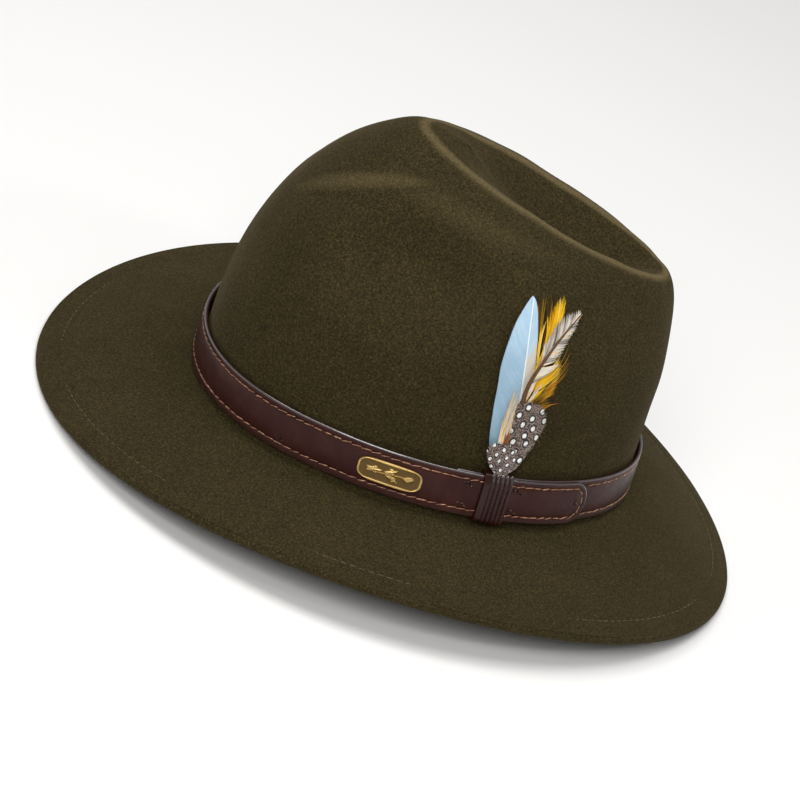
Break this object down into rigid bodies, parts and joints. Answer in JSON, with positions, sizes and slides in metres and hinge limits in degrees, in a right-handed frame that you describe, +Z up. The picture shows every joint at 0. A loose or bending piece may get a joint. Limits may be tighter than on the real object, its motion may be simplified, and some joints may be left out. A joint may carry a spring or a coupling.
{
  "type": "hunting hat",
  "caption": "Felt hunting hat with a creased crown and a wide drooping brim, leather strap with keeper, small brass plaque and a bunch of feathers on the wearer's left.",
  "frame": {"origin": "on the floor under the middle of the brim", "axes": "+Z up the crown, -Y towards the front of the hat, +X towards the wearer's left side"},
  "size_m": [0.3054, 0.3405, 0.168],
  "materials": {
    "felt": "dense brushed wool felt, dark olive brown, matt with a faint nap",
    "strap_leather": "smooth waxed leather, dark red brown, soft gloss",
    "keeper_leather": "ribbed waxed leather, dark red brown, soft gloss",
    "plaque_brass": "cast antique brass, rubbed bright on the high places",
    "goose_vane": "pale grey blue goose vane with a fine silky grain",
    "yellow_vane": "dyed golden yellow hackle, loose shiny barbs",
    "striped_vane": "cream hackle with fine dark stripes and a brown quill",
    "guinea_vane": "grey brown guinea fowl vane with rows of white spots"
  },
  "bodies": {
    "root": {"felt_body": "felt", "band_strap": "strap_leather", "keeper_loop": "keeper_leather", "badge": "plaque_brass", "goose_feather": "goose_vane", "yellow_hackle": "yellow_vane", "striped_hackle": "striped_vane", "guinea_feather_long": "guinea_vane", "guinea_feather_short": "guinea_vane"}
  },
  "joints": []
}
